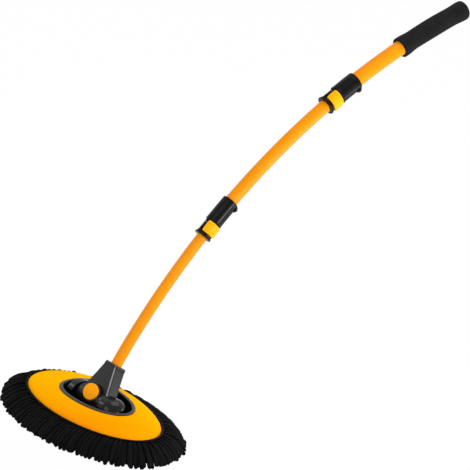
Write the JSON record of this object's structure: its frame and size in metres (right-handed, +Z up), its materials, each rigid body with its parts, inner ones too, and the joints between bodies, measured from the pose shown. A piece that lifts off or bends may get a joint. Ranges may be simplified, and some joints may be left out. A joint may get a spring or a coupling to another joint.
{
  "type": "car wash brush",
  "caption": "Oval chenille wash head on a tilting neck, with a button at its hinge and a curved telescopic pole that ends in a foam grip.",
  "frame": {"origin": "middle of the chenille sole, on the surface the head lies on and below the hinge axis", "axes": "X along the head and the hinge pin, +Y the way the pole leans, +Z up, out of the head's top"},
  "size_m": [0.3325, 0.7126, 0.5734],
  "materials": {
    "chenille": "matt black chenille pile",
    "hem": "matt black elastic hem",
    "foam": "black foam sheet",
    "plate_plastic": "matt black",
    "steel": "plain",
    "shell_plastic": "semi-gloss warm yellow",
    "base_plastic": "gloss black",
    "neck_plastic": "satin dark grey",
    "nylon": "natural white",
    "button_plastic": "gloss warm yellow",
    "tube_paint": "gloss golden orange",
    "lock_plastic": "gloss black",
    "lever_plastic": "semi-gloss yellow",
    "grip_foam": "matt black foam"
  },
  "bodies": {
    "upper_pole": {"upper_tube": "tube_paint", "upper_lock_body": "lock_plastic", "upper_lock_pin": "steel", "upper_lock_shoe": "plate_plastic", "upper_lock_screw": "lock_plastic", "foam_grip": "grip_foam", "grip_plug": "plate_plastic"},
    "upper_lever": {"upper_lock_lever": "lever_plastic"},
    "middle_pole": {"middle_tube": "tube_paint", "middle_guide": "nylon", "lower_lock_body": "lock_plastic", "lower_lock_pin": "steel", "lower_lock_shoe": "plate_plastic", "lower_lock_screw": "lock_plastic"},
    "lower_lever": {"lower_lock_lever": "lever_plastic"},
    "lower_pole": {"lower_tube": "tube_paint", "lower_guide": "nylon", "neck_housing": "neck_plastic", "neck_screw": "steel", "hinge_bush_left": "nylon", "hinge_bush_right": "nylon", "button_spring": "steel"},
    "button": {"tilt_button": "button_plastic"},
    "head": {"head_shell": "shell_plastic", "hinge_base": "base_plastic", "hinge_pin": "steel", "head_plate": "plate_plastic", "plate_screw_1": "steel", "plate_screw_2": "steel", "plate_screw_3": "steel", "plate_screw_4": "steel", "foam_core": "foam", "chenille_pad": "chenille", "chenille_fringe": "chenille", "cover_hem": "hem"}
  },
  "joints": [
    {"name": "upper_lever_flip", "type": "hinge", "parent": "upper_pole", "child": "upper_lever", "pos_m": [-0.00091, 0.3619, 0.45755], "axis": [0, -0.8357, -0.5492], "range_deg": [0, 100]},
    {"name": "upper_slide", "type": "hinge", "parent": "upper_pole", "child": "middle_pole", "pos_m": [0, 0.95501, -0.44497], "axis": [1, 0, 0], "range_deg": [-8.3, 1]},
    {"name": "lower_lever_flip", "type": "hinge", "parent": "middle_pole", "child": "lower_lever", "pos_m": [-0.0008, 0.15948, 0.2832], "axis": [0, -0.6752, -0.7376], "range_deg": [0, 100]},
    {"name": "lower_slide", "type": "hinge", "parent": "middle_pole", "child": "lower_pole", "pos_m": [0, 0.95501, -0.44497], "axis": [1, 0, 0], "range_deg": [-10.2, 1]},
    {"name": "button_press", "type": "slide", "parent": "lower_pole", "child": "button", "axis": [0, 0.866, -0.5], "range_m": [0, 0.003], "stiffness_N_per_m": 500, "springref_m": -0.002},
    {"name": "head_tilt", "type": "hinge", "parent": "lower_pole", "child": "head", "pos_m": [0, 0, 0.0429], "axis": [1, 0, 0], "range_deg": [-90, 24]}
  ]
}
